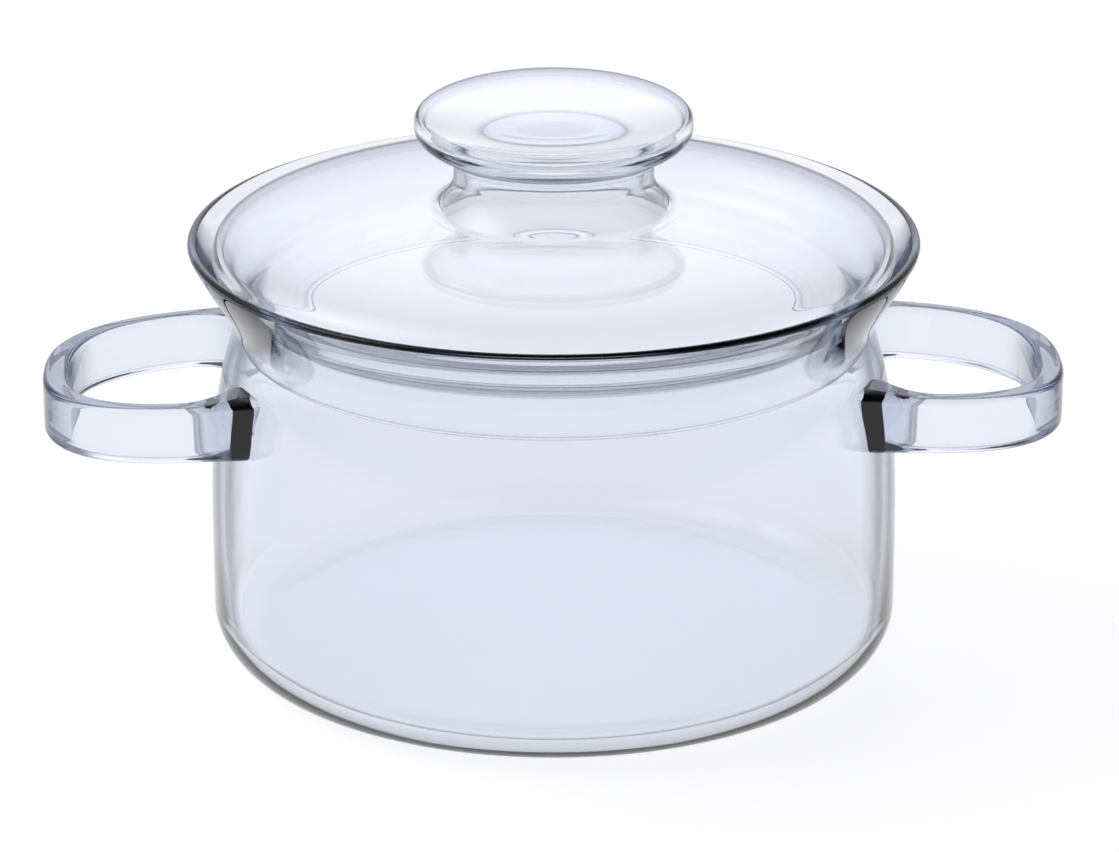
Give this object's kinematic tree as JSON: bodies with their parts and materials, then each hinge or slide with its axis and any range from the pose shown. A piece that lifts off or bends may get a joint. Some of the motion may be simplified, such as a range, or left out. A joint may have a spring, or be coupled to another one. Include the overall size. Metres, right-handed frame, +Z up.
{
  "type": "glass cooking pot",
  "caption": "Clear glass stove-top pot with a waisted body and flared rim, fused loop handles, and a low domed stopper lid with a hollow mushroom knob that lifts off.",
  "frame": {"origin": "centre of the flat base, on the surface that the pot stands on", "axes": "+Z up through the knob, +X along the handles towards the right one, -Y towards the viewer of the picture"},
  "size_m": [0.2526, 0.18, 0.144],
  "materials": {
    "vessel_glass": "fire-polished clear borosilicate",
    "lid_glass": "fire-polished clear borosilicate"
  },
  "bodies": {
    "pot": {"pot_body": "vessel_glass", "left_handle": "vessel_glass", "right_handle": "vessel_glass"},
    "lid": {"lid": "lid_glass", "lid_knob": "lid_glass"}
  },
  "joints": [
    {"name": "lid_lift", "type": "slide", "parent": "pot", "child": "lid", "axis": [0, 0, 1], "range_m": [0, 0.12]}
  ]
}
